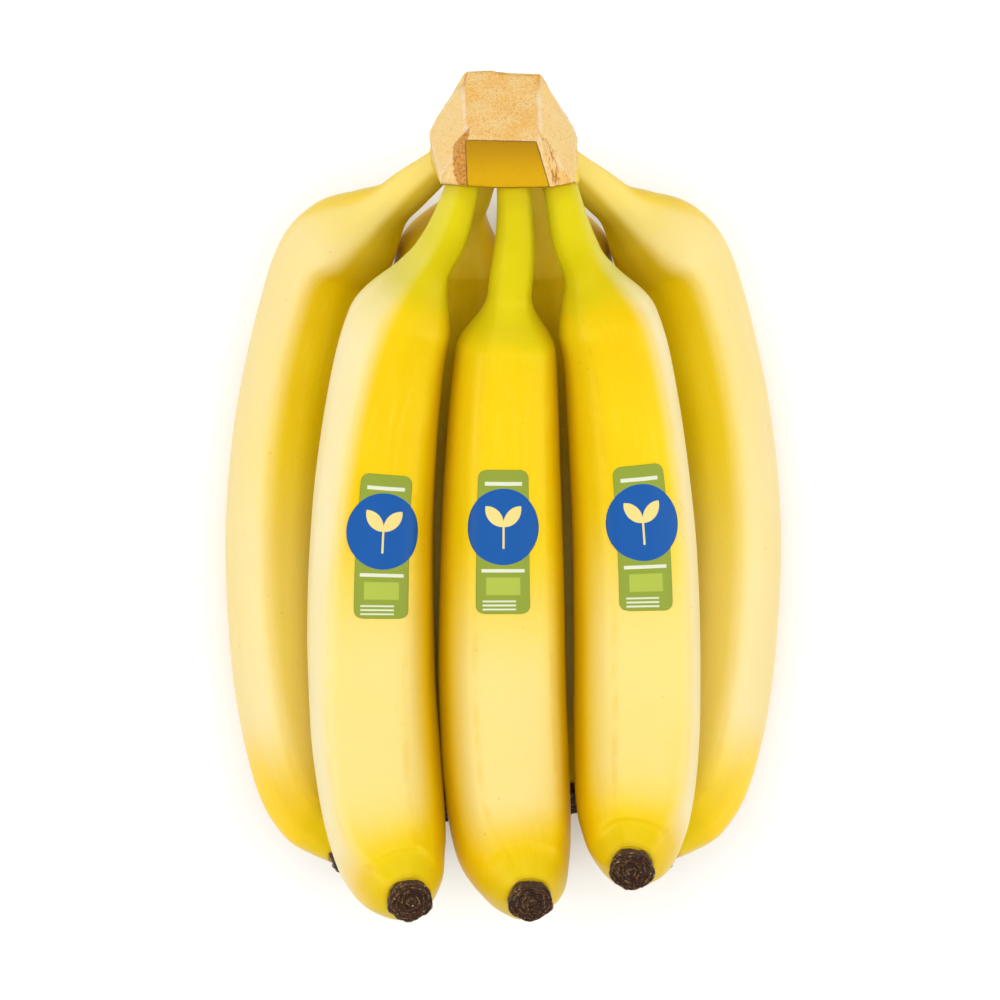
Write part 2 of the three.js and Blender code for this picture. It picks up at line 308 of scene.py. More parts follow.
class Nodes:
    def __init__(self, tree):
        self.tree = tree

    def add(self, kind, settings=None, inputs=None, output=0):
        """Adds a node, with its settings first and then its inputs, and returns an output."""
        node = self.tree.nodes.new(kind)
        for name, value in (settings or {}).items():
            setattr(node, name, value)
        for name, value in (inputs or {}).items():
            socket = node.inputs[name]
            if isinstance(value, Wire):
                self.tree.links.new(value.socket, socket)
            else:
                socket.default_value = value
        return Wire(self, node.outputs[output]) if node.outputs else node

    def vector(self, operation, *values, output=0):
        settings = {"operation": operation}
        return self.add("ShaderNodeVectorMath", settings, dict(enumerate(values)), output)

    def scaled(self, vector, factor):
        return self.add("ShaderNodeVectorMath", {"operation": "SCALE"},
                        {0: vector, "Scale": factor})

    def combine(self, x, y, z):
        return self.add("ShaderNodeCombineXYZ", None, {"X": x, "Y": y, "Z": z})

    def part(self, vector, axis):
        return self.add("ShaderNodeSeparateXYZ", None, {0: vector}, output=axis)

    def noise(self, place, scale, detail, roughness=0.5):
        inputs = {"Vector": place, "Scale": scale, "Detail": detail, "Roughness": roughness}
        return self.add("ShaderNodeTexNoise", None, inputs)


def banana_tree(name, profile):
    """Sweeps the five-sided section along a line. Every size of the banana is a named input."""
    group = bpy.data.node_groups.new(name, "GeometryNodeTree")
    group.interface.new_socket("Geometry", in_out="INPUT", socket_type="NodeSocketGeometry")
    sizes = ["Radius", "Pedicel radius", "Root share", "Stalk share", "Shoulder share",
             "Edge height", "Edge sharpness", "Edge turn", "Edge drift", "Painted highlight side",
             "Unevenness", "Seed"]
    for size in sizes:
        group.interface.new_socket(size, in_out="INPUT", socket_type="NodeSocketFloat")
    group.interface.new_socket("Skin", in_out="INPUT", socket_type="NodeSocketMaterial")
    group.interface.new_socket("Geometry", in_out="OUTPUT", socket_type="NodeSocketGeometry")
    nodes = Nodes(group)
    entry = nodes.add("NodeGroupInput").socket.node
    given = {socket.name: Wire(nodes, socket) for socket in entry.outputs if socket.name}

    def store(geometry, label, value, kind="FLOAT"):
        settings = {"data_type": kind, "domain": "POINT"}
        inputs = {"Geometry": geometry, "Name": label, "Value": value}
        return nodes.add("GeometryNodeStoreNamedAttribute", settings, inputs)

    def stored(label, kind="FLOAT"):
        return nodes.add("GeometryNodeInputNamedAttribute", {"data_type": kind}, {"Name": label})

    line = nodes.add("GeometryNodeMeshToCurve", None, {0: given["Geometry"]})
    line = nodes.add("GeometryNodeResampleCurve", None, {"Curve": line, "Count": SECTIONS})
    factor = nodes.add("GeometryNodeSplineParameter")
    line = store(line, "share", factor)
    line = store(line, "centre", nodes.add("GeometryNodeInputPosition"), "FLOAT_VECTOR")
    line = store(line, "along", nodes.add("GeometryNodeInputTangent"), "FLOAT_VECTOR")
    circle = nodes.add("GeometryNodeCurvePrimitiveCircle", None, {"Resolution": SECTION_POINTS})
    circle = store(circle, "turn", factor)
    skin = nodes.add("GeometryNodeCurveToMesh", None,
                     {"Curve": line, "Profile Curve": circle, "Fill Caps": True})

    share = stored("share")
    ripe = (share - given["Stalk share"]) / (1 - given["Stalk share"])
    girth = nodes.add("ShaderNodeFloatCurve", None, {"Value": ripe.maximum(0)})
    mapping = girth.socket.node.mapping
    points = mapping.curves[0].points
    for place, width in profile[1:-1]:
        points.new(place, width)
    points[0].location = profile[0]
    points[-1].location = profile[-1]
    mapping.update()
    full = girth * given["Radius"]
    swell = ripe.ease(0, given["Shoulder share"])
    slim = given["Pedicel radius"] * share.ease(0, given["Stalk share"], given["Root share"], 1)
    radius = slim + (full - slim) * swell
    fullness = (radius / given["Radius"]).minimum(1)

    along = stored("along", "FLOAT_VECTOR")
    sideways = nodes.vector("SUBTRACT", (1, 0, 0),
                            nodes.scaled(along, nodes.part(along, 0)))
    sideways = nodes.vector("NORMALIZE", sideways)
    hollow = nodes.vector("CROSS_PRODUCT", along, sideways)
    edge_angle = stored("turn") * math.tau
    angle = edge_angle + given["Edge turn"] + given["Edge drift"] * share + math.pi / 2
    sharp = (edge_angle * FRUIT_SIDES).cos() * given["Edge height"]
    sharper = (edge_angle * (2 * FRUIT_SIDES)).cos() * given["Edge sharpness"]
    edge = (sharp + sharper) * (STALK_EDGE_SHARE + (1 - STALK_EDGE_SHARE) * fullness)
    outwards = nodes.vector("ADD", nodes.scaled(sideways, angle.cos()),
                            nodes.scaled(hollow, angle.sin()))
    centre = stored("centre", "FLOAT_VECTOR")
    near_skin = nodes.vector("ADD", centre, nodes.scaled(outwards, radius))
    swelling = nodes.add("ShaderNodeTexNoise", {"noise_dimensions": "4D"},
                         {"Vector": near_skin, "W": given["Seed"], "Scale": LUMP_SCALE,
                          "Detail": 1.5})
    lump = (swelling - 0.5) * given["Unevenness"] * fullness
    reach = radius * (1 + edge) + lump
    place = nodes.vector("ADD", centre, nodes.scaled(outwards, reach))
    skin = nodes.add("GeometryNodeSetPosition", None, {"Geometry": skin, "Position": place})
    around = nodes.combine(edge_angle.cos(), edge_angle.sin(), 0.0)
    skin = store(skin, "around", around, "FLOAT_VECTOR")
    skin = store(skin, "outwards", outwards, "FLOAT_VECTOR")
    skin = store(skin, "ripe", ripe)
    # The mask for a painted highlight: the outer facets on the marked side.
    highlight_middle = given["Painted highlight side"] * (math.pi / FRUIT_SIDES)
    pale = (edge_angle - highlight_middle).cos().ease(0.64, 0.94) * given["Painted highlight side"].distance(0)
    skin = store(skin, "pale", pale)
    for label in ("centre", "along", "turn"):
        skin = nodes.add("GeometryNodeRemoveAttribute", None, {"Geometry": skin, "Name": label})
    skin = nodes.add("GeometryNodeSetShadeSmooth", None, {0: skin, "Shade Smooth": True})
    skin = nodes.add("GeometryNodeRealizeInstances", None, {0: skin})
    skin = nodes.add("GeometryNodeSetMaterial", None, {"Geometry": skin, "Material": given["Skin"]})
    nodes.add("NodeGroupOutput", None, {"Geometry": skin})
    return group


# The studio's light is strong, so colours are laid on this much darker than they are written.
SHADE = 0.58


def linear(code, shade=SHADE):
    """A colour written as six hex digits, as the light that it gives back."""
    steps = [int(code[i:i + 2], 16) / 255 for i in (0, 2, 4)]
    light = [s / 12.92 if s <= 0.04045 else ((s + 0.055) / 1.055) ** 2.4 for s in steps]
    return (*(part * shade for part in light), 1.0)


class Finish(Nodes):
    """The nodes of one material."""

    def __init__(self, name):
        self.material = bpy.data.materials.new(name)
        self.material.use_nodes = True
        super().__init__(self.material.node_tree)
        self.tree.nodes.clear()

    def mix(self, factor, below, above):
        """The colour above laid over the colour below, by the factor."""
        settings = {"data_type": "RGBA", "clamp_factor": True}
        inputs = {0: factor, 6: below, 7: above}
        return self.add("ShaderNodeMix", settings, inputs, output=2)

    def attribute(self, label, output="Fac"):
        return self.add("ShaderNodeAttribute", {"attribute_name": label}, None, output)

    def object_place(self):
        return self.add("ShaderNodeTexCoord", None, None, "Object")

    def surface(self, colour, roughness, bump, bump_height, gloss):
        """Ends the material. What varies is linked, and gloss sets the shader's other sockets."""
        normal = self.add("ShaderNodeBump", None, {"Height": bump, "Distance": bump_height})
        inputs = {"Base Color": colour, "Roughness": roughness, "Normal": normal}
        shader = self.add("ShaderNodeBsdfPrincipled", None, inputs | gloss)
        self.add("ShaderNodeOutputMaterial", None, {"Surface": shader})
        return self.material


def skin_finish(name, belly_highlight, side_highlight, highlight_fade_end, green_stalk, stalk_yellow_and_highlight, aside_shading):
    """The skin of one row: how strong the painted highlights are low on its front and on its
    marked side, how far along the fruit that side's highlight reaches, how green the stalks are,
    how yellow and lit with a painted highlight their upper sides are, and the colour of the painted
    shading where fruits face each other."""
    skin = Finish(name)
    share = skin.attribute("share")
    ripe = skin.attribute("ripe")
    around = skin.attribute("around", "Vector")
    place = skin.object_place()

    # Patches, then faint streaks that run the length of the fruit, then fine pores.
    patches = skin.noise(place, 22, 3)
    streak_place = skin.vector("ADD", skin.scaled(around, 1.6),
                               skin.combine(0.0, 0.0, share * 2.2))
    streaks = skin.noise(streak_place, 6, 4, 0.6)
    pores = skin.noise(place, 1400, 2)
    colour = skin.mix(patches.ease(0.35, 0.7), linear("FBD50C"), linear("F8CB02"))
    colour = skin.mix(streaks.ease(0.5, 0.75) * 0.35, colour, linear("FFDF3A"))
    colour = skin.mix(pores.ease(0.5, 0.8) * 0.25, colour, linear("F0BC00"))

    # Low on the fruit, where its front faces up, a painted highlight makes it paler cream.
    low = ripe.ease(0.38, 0.64) * (1 - ripe.ease(0.82, 0.98))
    up = skin.part(skin.attribute("outwards", "Vector"), 2)
    front = up.ease(0.35, 0.9)
    colour = skin.mix(low * front * belly_highlight * (0.75 + 0.5 * patches), colour, linear("FEEAA0"))
    # A painted highlight: the marked side is washed pale cream, fading out towards the blossom end.
    pale = skin.attribute("pale") * (1 - ripe.ease(highlight_fade_end - 0.12, highlight_fade_end))
    colour = skin.mix(pale * side_highlight * (0.7 + 0.6 * patches), colour, linear("FEF0C0"))

    # The five edges are a little deeper in colour, and worn here and there.
    turned = skin.part(around, 0)
    edges = 16 * turned ** 5 - 20 * turned ** 3 + 5 * turned
    worn = skin.noise(place, 160, 3).ease(0.35, 0.65)
    colour = skin.mix(edges.ease(0.93, 1.0) * worn * (1 - pale) * 0.25, colour, linear("EDB400"))

    # Painted shade and light on sides that face a neighbour: a deeper, warmer yellow on the inner
    # row, and a lighter yellow that lifts the shade on the outer row.
    aside = skin.part(skin.attribute("outwards", "Vector"), 0).distance(0.0).ease(0.6, 1.0)
    colour = skin.mix(aside * (1 - pale) * 0.55, colour, aside_shading)

    # Green at the stalk, with a darker collar where the fruit starts, and at the blossom end.
    edge_noise = (skin.noise(place, 90, 3) - 0.5) * 0.06
    green = 1 - (ripe + edge_noise).ease(-0.02, 0.15)
    stalk_colour = skin.mix(patches.ease(0.3, 0.7), linear("EADB14"), linear("DCCB08"))
    # The painted highlight on the marked side reaches faintly onto the stalk.
    stalk_side_highlight = skin.attribute("pale") * 0.12
    stalk_colour = skin.mix(stalk_side_highlight, stalk_colour, linear("F2EA80"))
    colour = skin.mix(green * green_stalk, colour, stalk_colour)
    collar = 1 - (ripe + edge_noise * 0.6).distance(0.045).ease(0.0, 0.045)
    colour = skin.mix(collar * 0.35 * green_stalk, colour, linear("C6BC08"))
    stalk_top = 1 - share.ease(0.0, 0.05)
    colour = skin.mix(stalk_top * 0.5 * green_stalk, colour, linear("D9B606"))
    # The upper sides of the stalks are yellower and lighter: partly their own yellow, partly a
    # painted highlight.
    colour = skin.mix(green * up.ease(0.0, 0.8) * stalk_yellow_and_highlight, colour, linear("FFDF58", 0.66))
    end_green = (ripe + edge_noise).ease(0.93, 1.0)
    colour = skin.mix(end_green * 0.35, colour, linear("D8C818"))

    # A few freckles, and the brown rim round the scar.
    spots = skin.add("ShaderNodeTexVoronoi", None, {"Vector": place, "Scale": 260.0})
    chance = skin.noise(place, 130, 1)
    freckles = (1 - spots.ease(0.0, 0.16)) * chance.ease(0.62, 0.7)
    colour = skin.mix(freckles * 0.35, colour, linear("A9781C"))
    rim = (ripe + edge_noise * 0.08).ease(0.994, 0.999)
    colour = skin.mix(rim * 0.3, colour, linear("C08A1C"))

    # Short brown scratches, and the fibres that show faintly through the skin.
    roughness = 0.38 + 0.08 * (patches - 0.5) + 0.1 * green
    scratch_place = skin.vector("ADD", skin.scaled(around, 5.0),
                                skin.combine(0.0, 0.0, share * 5.0))
    scratches = skin.noise(scratch_place, 15, 3, 0.6).ease(0.735, 0.78)
    colour = skin.mix(scratches * 0.4, colour, linear("B07C14"))
    fibre_place = skin.vector("ADD", skin.scaled(around, 9.0),
                              skin.combine(0.0, 0.0, share * 9.0))
    fibres = skin.noise(fibre_place, 8, 3)
    bump = pores * 0.35 + fibres * 0.8
    return skin.surface(colour, roughness, bump, 0.00005, {
        "Specular IOR Level": 0.22,
        "Specular Tint": (1.0, 0.78, 0.16, 1.0),
        "Coat Weight": 0.02,
        "Coat Roughness": 0.22,
        "Subsurface Weight": 0.06,
        "Subsurface Radius": (0.004, 0.0025, 0.0004),
        "Subsurface Scale": 1.0,
    })


def add_object(name, data):
    """Puts a mesh, a light or a camera in the scene, and returns its object."""
    added = bpy.data.objects.new(name, data)
    bpy.context.scene.collection.objects.link(added)
    return added


def bake_tree(name, start_mesh, tree, values):
    """Runs a geometry tree on a mesh once, and returns the result as a plain object."""
    holder = add_object(name + "_start", start_mesh)
    modifier = holder.modifiers.new("tree", "NODES")
    modifier.node_group = tree
    sockets = {item.name: item.identifier for item in tree.interface.items_tree
               if item.in_out == "INPUT"}
    for label, value in values.items():
        modifier[sockets[label]] = value
    bpy.context.view_layer.update()
    evaluated = holder.evaluated_get(bpy.context.evaluated_depsgraph_get())
    mesh = bpy.data.meshes.new_from_object(evaluated)
    holder.modifiers.remove(modifier)
    bpy.data.objects.remove(holder)
    return add_object(name, mesh)


def line_mesh(name, line):
    """A banana's middle line as a mesh of edges, for its tree to start from."""
    mesh = bpy.data.meshes.new(name)
    edges = [(i, i + 1) for i in range(len(line) - 1)]
    mesh.from_pydata(line, edges, [])
    return mesh


inner_skin = skin_finish("skin_inner", belly_highlight=0.72, side_highlight=0.86, highlight_fade_end=1.0,
                         green_stalk=0.95, stalk_yellow_and_highlight=0.0, aside_shading=linear("FFC600"))
outer_skin = skin_finish("skin_outer", belly_highlight=0.3, side_highlight=0.62, highlight_fade_end=0.9,
                         green_stalk=0.2, stalk_yellow_and_highlight=0.5, aside_shading=linear("FFCE28", 0.76))
inner_tree = banana_tree("inner_banana", INNER_PROFILE)
outer_tree = banana_tree("outer_banana", OUTER_PROFILE)
fruit = {}

for number, (name, banana) in enumerate(BANANAS.items()):
    inner = banana["profile"] is INNER_PROFILE
    line, stalk_share = centre_line(banana)
    radius = banana["girth"] * BANANA_THICKNESS / 2 / (1 + EDGE_HEIGHT)
    values = {
        "Radius": radius * SKIN_CLEARANCE,
        "Pedicel radius": PEDICEL_THICKNESS / 2,
        "Root share": ROOT_SHARE,
        "Stalk share": stalk_share,
        "Shoulder share": banana["shoulder"],
        "Edge height": EDGE_HEIGHT,
        "Edge sharpness": EDGE_SHARPNESS,
        "Edge turn": math.radians(banana["turn"]),
        "Edge drift": math.radians(banana["drift"]),
        "Painted highlight side": float(banana["pale"]),
        "Unevenness": SKIN_UNEVENNESS,
        "Seed": float(number),
        "Skin": inner_skin if inner else outer_skin,
    }
    tree = inner_tree if inner else outer_tree
    piece = bake_tree(f"fruit_{name}", line_mesh(name, line), tree, values)
    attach(piece, "root")
    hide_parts(f"banana_{name}")
    fruit[name] = piece


# The crown is the block of stem that all seven pedicels grow from. A knife took it off the stalk
# and trimmed its sides: the cut faces are dry, pale and fibrous, and the faces that weren't cut
# keep their smooth skin, with a thin dark line where the cuts meet it. Along the lower edge,
# where the block overhangs the stalks, that line is a painted shadow.
CROWN_CELL = 0.00055
CUT_ANGLE = math.radians(14)
FRONT, UNDER, CUT = range(3)
FRONT_FACING = 0.94
UNDER_FACING = 0.8
FOOT_FACING = 0.9
FRONT_DROP = 0.075
CUT_WAVE = 0.0004
CUT_CRUMBS = 0.0003
SKIN_WAVE = 0.00012
RIM_WEAR = 0.0006
TOP_RIM_WEAR = 0.0026
TOP_RIM_REACH = 0.005
RIM_WIDTH_MM = 1.6
JOIN_REACH = 0.003
JOIN_SWELL = 0.0012

# The front of the block is drawn down by FRONT_DROP, and its lower edge spreads over the stalks.
CROWN_LIP = [(-0.79, -0.01, 0.76), (0.65, -0.005, 0.985), (1.01, 0.0, 0.84)]


def shade_smooth(mesh):
    mesh.polygons.foreach_set("use_smooth", [True] * len(mesh.polygons))


def crown_facets():
    """The cut block, and its faces as (outward direction, distance, kind)."""
    shape = bmesh.new()
    for across, up, deep in CROWN_CORNERS + CROWN_LIP:
        lowered = up - FRONT_DROP * (0.6 + up) if deep > 0.9 else up
        shape.verts.new(lie @ crown_corner(across, lowered, deep))
    bmesh.ops.convex_hull(shape, input=shape.verts[:])
    block = bpy.data.meshes.new("crown_block")
    shape.to_mesh(block)
    bmesh.ops.dissolve_limit(shape, angle_limit=CUT_ANGLE, verts=shape.verts, edges=shape.edges)
    shape.normal_update()
    facets = []
    for face in shape.faces:
        direction = face.normal
        kind = CUT
        if direction.z > FRONT_FACING:
            kind = FRONT
        elif direction.z < -UNDER_FACING or direction.y < -FOOT_FACING:
            kind = UNDER
        reach = max(direction.dot(corner.co) for corner in face.verts)
        facets.append((direction.copy(), reach, kind))
    shape.free()
    return block, facets


def crown_piece():
    """The block with its cuts roughened, its top rim torn and swellings where stalks grow out."""
    block, facets = crown_facets()
    holder = add_object("crown_start", block)
    remesh = holder.modifiers.new("cells", "REMESH")
    remesh.mode = "VOXEL"
    remesh.voxel_size = CROWN_CELL
    smooth = holder.modifiers.new("worn", "SMOOTH")
    smooth.iterations = 3
    bpy.context.view_layer.update()
    evaluated = holder.evaluated_get(bpy.context.evaluated_depsgraph_get())
    mesh = bpy.data.meshes.new_from_object(evaluated)
    bpy.data.objects.remove(holder)

    def border(own, other):
        """How far in from the edge between two faces, in millimetres."""
        return (other[0] - own[0]) * 1000 / max((other[1] - own[1]).length, 0.2)

    stalks = []
    for banana in BANANAS.values():
        line, stalk_share = centre_line(banana)
        stalks += line[:round(stalk_share * CENTRE_LINE_STEPS)]
    stalks = np.array(stalks)
    fields = {"facet_edge": [], "front_edge": [], "under_edge": [], "side": [], "joined": []}
    moved = []
    for vertex in mesh.vertices:
        depths = [(reach - direction.dot(vertex.co), direction, kind)
                  for direction, reach, kind in facets]
        depths.sort(key=lambda entry: entry[0])
        fields["facet_edge"].append(border(depths[0], depths[1]))
        fields["side"].append(abs(depths[0][1].x))
        for label, wanted in (("front_edge", FRONT), ("under_edge", UNDER)):
            own = next(entry for entry in depths if entry[2] == wanted)
            other = next(entry for entry in depths if entry[2] != wanted)
            fields[label].append(border(own, other))
        cut = min(max(0.5 - max(fields["front_edge"][-1], fields["under_edge"][-1]), 0), 1)
        rim = max(0, 1 - fields["facet_edge"][-1] / RIM_WIDTH_MM)
        top_rim = rim if vertex.co.y > crown_high[1] - TOP_RIM_REACH else 0
        wave = noise.noise(vertex.co * 120) * 0.5 + 0.5
        crumbs = noise.fractal(vertex.co * 900, 0.9, 2.2, 3) * 0.5 + 0.5
        dig = (CUT_WAVE * wave + CUT_CRUMBS * crumbs) * cut + SKIN_WAVE * wave
        dig += (RIM_WEAR * noise.noise(vertex.co * 230) + 0.0003) * rim * cut
        dig += (TOP_RIM_WEAR * noise.noise(vertex.co * 150) + 0.0004) * top_rim

        # The block swells where a stalk grows out of its side or its back.
        from_stalk = np.sqrt(((stalks - np.array(vertex.co)) ** 2).sum(axis=1)).min()
        gap = from_stalk - ROOT_SHARE * PEDICEL_THICKNESS / 2
        faces_aside = min(max(abs(vertex.normal.x) - vertex.normal.z - 0.2, 0) * 3, 1)
        joined = min(max(1 - gap / JOIN_REACH, 0), 1) * faces_aside
        fields["joined"].append(joined)
        dig -= JOIN_SWELL * joined ** 2
        moved.append(vertex.co - vertex.normal * dig)
    for vertex, place in zip(mesh.vertices, moved):
        vertex.co = place
    for label, values in fields.items():
        mesh.attributes.new(label, "FLOAT", "POINT").data.foreach_set("value", values)
    shade_smooth(mesh)
    return add_object("cut_crown", mesh)


def crown_finish():
    """Dry cut stem, with smooth skin and a dark line where the knife left it alone, which is a
    painted shadow along its lower edge.
    """
    crown = Finish("cut_crown")
    place = crown.object_place()
    rough_edge = crown.noise(place, 700, 3) - 0.5
    front_edge = crown.attribute("front_edge") + rough_edge * 0.5
    under_edge = crown.attribute("under_edge") + rough_edge * 0.5
    chipped = crown.noise(place, 300, 4, 0.6) - 0.5
    facet_edge = crown.attribute("facet_edge") + chipped * 3.4
    height = (crown.part(place, 1) - crown_low[1]) / CROWN_HEIGHT
    right = crown.part(place, 0).ease(0.0, 0.003)

    # Dry cut faces: tan with darker specks and short fibres, paler and crumbled at their edges.
    broad = crown.noise(place, 110, 3)
    fibre_place = crown.vector("MULTIPLY", place, (1.0, 0.32, 1.0))
    fibres = crown.noise(fibre_place, 2300, 3, 0.65)
    specks = crown.noise(place, 1500, 3, 0.7)
    colour = crown.mix(broad.ease(0.3, 0.7), linear("FFCB74"), linear("FFDC98"))
    # Cut faces that face sideways get a painted highlight: paler cream, with fewer specks and
    # fibres showing.
    side = crown.attribute("side").ease(0.4, 0.7)
    colour = crown.mix(side * 0.65, colour, linear("FFE2A0"))
    colour = crown.mix(fibres.ease(0.46, 0.66) * (0.7 - 0.3 * side), colour, linear("F2AC4A"))
    colour = crown.mix(specks.ease(0.54, 0.7) * (0.6 - 0.3 * side), colour, linear("D88F2C"))
    colour = crown.mix(specks.ease(0.44, 0.3) * 0.6, colour, linear("FFEBC0"))
    crumbled = 1 - facet_edge.ease(0.0, 1.1)
    edge_colour = crown.mix(height.ease(0.75, 0.95), linear("FFEFD2"), linear("D9962E"))
    colour = crown.mix(crumbled * (0.25 + 0.5 * height), colour, edge_colour)

    # Beside the uncut front, the knife left two narrow strips that are rougher and browner.
    across = crown.part(place, 0) * (2 / CROWN_WIDTH)
    wobble = rough_edge * 0.07
    taper = height.ease(0.5, 0.3) * height.ease(-0.1, 0.12, 0.4, 1.0)
    left_strip = -0.45 - across + wobble
    right_strip = across - 0.65 + 0.435 * height + wobble
    left_band = left_strip.ease(-0.01, 0.01) * (taper * 0.22 - left_strip).ease(0.0, 0.03)
    right_band = right_strip.ease(-0.01, 0.01) * (taper * 0.13 - right_strip).ease(0.0, 0.03)
    near_front = crown.part(place, 2).ease(crown_high[2] - 0.015, crown_high[2] - 0.011)
    band = left_band.maximum(right_band) * near_front
    left_colour = crown.mix(specks.ease(0.4, 0.62), linear("E5A049"), linear("B5701F"))
    streak_place = crown.vector("MULTIPLY", place, (1.0, 0.18, 1.0))
    streaks = crown.noise(streak_place, 1500, 2, 0.6)
    right_colour = crown.mix(streaks.ease(0.45, 0.62), linear("FBD08A"), linear("B87420"))
    band_colour = crown.mix(right, left_colour, right_colour)
    band_colour = crown.mix(fibres.ease(0.55, 0.75) * 0.6, band_colour, linear("F6C47C"))
    colour = crown.mix(band * 0.9, colour, band_colour)

    # Skin that was never cut, and the dark line round it: where the cuts meet the skin, and along
    # its lower edge over the stalks a painted shadow under the overhang.
    skin = front_edge.maximum(under_edge).ease(-0.08, 0.12)
    shade = (height - 0.1 * broad).ease(0.34, -0.04)
    skin_colour = crown.mix(shade, linear("B48202"), linear("DCA800"))
    skin_colour = crown.mix(crown.noise(place, 1300, 2).ease(0.5, 0.8) * 0.3, skin_colour,
                            linear("B98A04"))
    colour = crown.mix(skin, colour, skin_colour)
    joined = (crown.attribute("joined") + rough_edge * 0.4).ease(0.35, 0.6)
    join_colour = crown.mix(broad.ease(0.3, 0.7), linear("FFDE5C"), linear("F8D044"))
    colour = crown.mix(joined, colour, join_colour)
    line = 1 - front_edge.distance(0.0).ease(0.08, 0.34)
    colour = crown.mix(line * 0.75, colour, linear("6B3F10"))

    roughness = 0.88 - 0.45 * skin
    bump = (fibres * 0.6 + specks) * (1 - skin * 0.9)
    return crown.surface(colour, roughness, bump, 0.00025, {
        "Specular IOR Level": 0.2,
        "Specular Tint": (1.0, 0.8, 0.3, 1.0),
    })


crown = crown_piece()
crown.data.materials.append(crown_finish())
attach(crown, "root")
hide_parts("crown")


# Where each banana's flower dried off, a dark stub is left: a rough five-cornered plug with
# curled fibres in rings on its face, a ragged rim, and a small hard point at one corner.
TIP_DIAMETER = 0.0124
TIP_LENGTH = 0.0052
TIP_SINK = 0.0006
SCAR_SQUASH = 0.92
SCAR_HEIGHT = 0.77 * TIP_LENGTH
SCAR_CORNERS = 5
CORNER_SHARE = 0.045
WRINKLE_SHARE = 0.07
CURL_HEIGHT = 0.00022
CRUMPLE_HEIGHT = 0.0009
NUB_WIDTH = 0.0007
NUB_HEIGHT = 0.0004
NUB_ANGLE = 5.6
SCAR_SECTORS = 120
SCAR_ROWS = 64

# Radius as a share of the rim's, and height as a share of the stub's length.
SCAR_PROFILE = [
    (0.9, -0.12), (0.92, 0.2), (0.93, 0.45), (0.96, 0.7), (1.0, 0.86), (0.97, 0.96),
    (0.9, 1.0), (0.8, 0.95), (0.62, 0.84), (0.42, 0.8), (0.22, 0.84), (0.1, 0.9), (0.0, 0.92),
]


def scar_piece(name, end, along, seed):
    """The stub at a banana's end. Its flat side is towards the crown."""
    towards_crown = Vector((0, 1, 0))
    up = (towards_crown - along * towards_crown.dot(along)).normalized()
    side = up.cross(along)
    profile = bent_line([Vector((r, h, 0)) for r, h in SCAR_PROFILE], SCAR_ROWS)
    rim = TIP_DIAMETER / 2
    shift = Vector((seed * 3.7, seed * 1.3, seed * 7.1))
    points = [end - along * TIP_SINK]
    local = [(0.0, 0.0, 0.0)]
    for share, height, _ in profile[:-1]:
        for sector in range(SCAR_SECTORS):
            angle = sector / SCAR_SECTORS * math.tau
            corner = math.cos(SCAR_CORNERS * (angle - math.pi))
            sharper = 0.012 * math.cos(2 * SCAR_CORNERS * (angle - math.pi))
            outline = 1.02 + CORNER_SHARE * corner + sharper
            spot = Vector((math.cos(angle) * share, math.sin(angle) * share, height))
            wrinkle = noise.fractal(spot * 2.4 + shift, 0.8, 2.1, 4)
            radius = rim * share * outline * (0.99 + WRINKLE_SHARE * wrinkle)
            rise = SCAR_HEIGHT * height
            rim_share = max(0.0, 1 - abs(share - 0.93) / 0.16) * max(0.0, min(height * 2 - 1, 1))
            ragged = noise.noise(Vector((math.cos(angle), math.sin(angle), 0)) * 3.1 + shift)
            rise += SCAR_HEIGHT * (0.1 * ragged - 0.04) * rim_share
            if height > 0.75 and share < 0.95:
                curl = 4.6 * share + 1.3 * noise.noise(spot * 1.6 + shift * 2)
                rise += CURL_HEIGHT * math.sin(curl * math.tau) * min(share * 4, 1)
                rise += CRUMPLE_HEIGHT * noise.fractal(spot * 3.6 - shift, 0.9, 2.1, 4)
            nub = max(0.0, 1 - ((angle - NUB_ANGLE) ** 2 * 14 + (share - 0.98) ** 2 * 40))
            nub *= max(0.0, min(height * 2 - 0.6, 1))
            radius += NUB_WIDTH * nub
            rise += NUB_HEIGHT * nub
            points.append(end + up * radius * SCAR_SQUASH * math.cos(angle)
                          + side * radius * math.sin(angle) + along * rise)
            local.append((radius * 1000 * math.cos(angle), radius * 1000 * math.sin(angle),
                          rise * 1000))
    points.append(end + along * SCAR_HEIGHT * SCAR_PROFILE[-1][1])
    local.append((0.0, 0.0, SCAR_HEIGHT * 1000))
    faces = []
    last = len(points) - 1
    for sector in range(SCAR_SECTORS):
        after = (sector + 1) % SCAR_SECTORS
        faces.append((0, 1 + after, 1 + sector))
        for row in range(SCAR_ROWS - 1):
            low, high = 1 + row * SCAR_SECTORS, 1 + (row + 1) * SCAR_SECTORS
            faces.append((low + sector, low + after, high + after, high + sector))
        top = 1 + (SCAR_ROWS - 1) * SCAR_SECTORS
        faces.append((top + sector, top + after, last))
    mesh = bpy.data.meshes.new(name)
    mesh.from_pydata(points, [], faces)
    spots = mesh.attributes.new("spot", "FLOAT_VECTOR", "POINT")
    spots.data.foreach_set("vector", [part for spot in local for part in spot])
    shade_smooth(mesh)
    return add_object(name, mesh)


